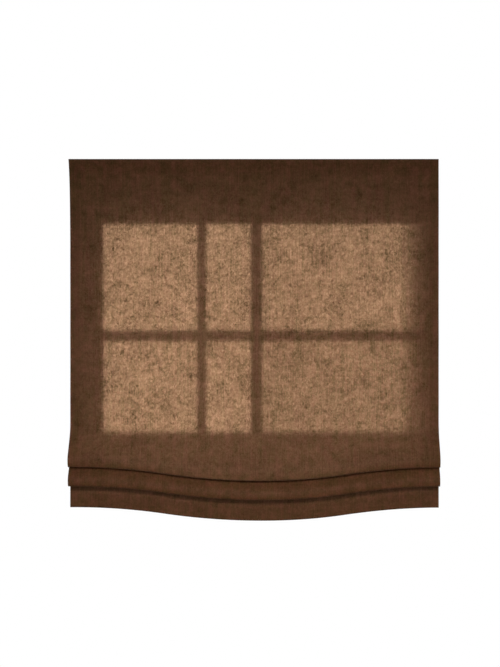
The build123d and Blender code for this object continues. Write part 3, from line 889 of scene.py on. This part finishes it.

# %% [markdown]
# ## Lift cords
# Each cord is knotted under its stop, runs up through the rings and winds on to its spool. Below the
# rail the length of cord shortens as the blind climbs, but here that stretch is a plain tube that
# stays with the rail and doesn't flatten as the foot rises. The knot keeps its size and rides with the
# foot. The part that runs up into the headrail and round the spool stays where it is. Tubes are swept
# in mesh code along the cord's own line, with enough sides to look round close up.

# %% Sweep the cords
cord_sides = 12
run_steps = 160
rise_steps = 6
knot_steps = 60
wound_degrees = 280
wound_step = 8
cord_low, cord_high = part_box("lift_cord_left")
spool_low, spool_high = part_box("cord_spool_left")
spool_y = (spool_low.y + spool_high.y) / 2
spool_z = (spool_low.z + spool_high.z) / 2
cord_radius = 0.0007
knot_radius = 0.0016
knot_scale = knot_radius * 0.30  # the trefoil reaches three units out from its middle
knot_depth = 1.1
pulled_thin = 0.9  # cord pulled tight in a knot is thinner
wind_radius = 0.0086
cord_y = spool_y - wind_radius
knot_z = cord_low.z + knot_radius


def tube(name, path, radius):
    """A round tube along points that lie in one plane across the blind, closed at both ends."""
    vertices, faces = [], []
    for k, point in enumerate(path):
        ahead = path[min(k + 1, len(path) - 1)] - path[max(k - 1, 0)]
        side = Vector((1, 0, 0))
        up = ahead.cross(side).normalized()
        for s in range(cord_sides):
            turn = 2 * pi * s / cord_sides
            vertices.append(point + side * (radius * cos(turn)) + up * (radius * sin(turn)))
    for k in range(len(path) - 1):
        for s in range(cord_sides):
            a, b = k * cord_sides + s, k * cord_sides + (s + 1) % cord_sides
            faces.append((a, b, b + cord_sides, a + cord_sides))
    last = (len(path) - 1) * cord_sides
    faces.append(tuple(range(cord_sides - 1, -1, -1)))
    faces.append(tuple(range(last, last + cord_sides)))
    mesh = bpy.data.meshes.new(name)
    mesh.from_pydata(vertices, [], faces)
    mesh.polygons.foreach_set("use_smooth", [True] * len(faces))
    mesh.materials.append(finishes["cord"])
    piece = bpy.data.objects.new(name, mesh)
    scene.collection.objects.link(piece)
    return piece


def knot(centre):
    """A pulled-tight overhand knot: one strand that winds round itself in a small trefoil."""
    loop = []
    for k in range(knot_steps):
        t = 2 * pi * k / knot_steps
        trefoil = Vector((sin(t) + 2 * sin(2 * t), cos(t) - 2 * cos(2 * t), -sin(3 * t) * knot_depth))
        loop.append(centre + trefoil * knot_scale)
    return loop


print("cord", round(cord_radius * 2000, 1), "mm thick, knots", round(knot_radius * 2000, 1), "mm")

# %% Hang both cords
for side, end in (("left", -1), ("right", 1)):
    x = end * abs((cord_low.x + cord_high.x) / 2)
    node = "lift_cord_" + side
    drop_length = hang_line - knot_z
    heights = [knot_z + drop_length * k / run_steps for k in range(run_steps + 1)]
    hanging = [Vector((x, cord_y, height)) for height in heights]
    run = tube(node + "_run", hanging, cord_radius)
    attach(run, "root")
    1 - full_lift / drop_length
    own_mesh(run)

    heights = [hang_line + (spool_z - hang_line) * k / rise_steps for k in range(rise_steps)]
    climb = [Vector((x, cord_y, height)) for height in heights]
    for degree in range(0, wound_degrees + 1, wound_step):
        turn = degree * pi / 180
        y, z = spool_y - wind_radius * cos(turn), spool_z + wind_radius * sin(turn)
        climb.append(Vector((x, y, z)))
    winding = tube(node + "_wound", climb, cord_radius)
    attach(winding, "root")

    tied = knot(Vector((x, cord_y, knot_z)))
    end_knot = tube(node + "_knot", tied + tied[:1], cord_radius * pulled_thin)
    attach(end_knot, "foot")
    for piece in (run, winding, end_knot):
        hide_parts(node)
    print(node, "hangs", round(drop_length, 4), "m below the headrail")

# %% [markdown]
# ## Floor
# The blind hangs from a wall, so the floor lies well below it. It is pale and even, and it stays
# clear of the straight-on view.

# %% Lay the floor
floor_mesh = bpy.data.meshes.new("floor")
floor_z = foot - 0.65
floor_side = 2.4
floor_front = -2.6
floor_back = 0.5
floor_corners = [
    (-floor_side, floor_front, floor_z),
    (floor_side, floor_front, floor_z),
    (floor_side, floor_back, floor_z),
    (-floor_side, floor_back, floor_z),
]
floor_mesh.from_pydata(floor_corners, [], [(0, 1, 2, 3)])
floor = bpy.data.objects.new("floor", floor_mesh)
floor_mesh.materials.append(moulded("floor_paint", (0.90, 0.895, 0.885), 0.8, 40.0, 0.0001, 0.03))
scene.collection.objects.link(floor)
print("floor at z", round(floor_z, 3))
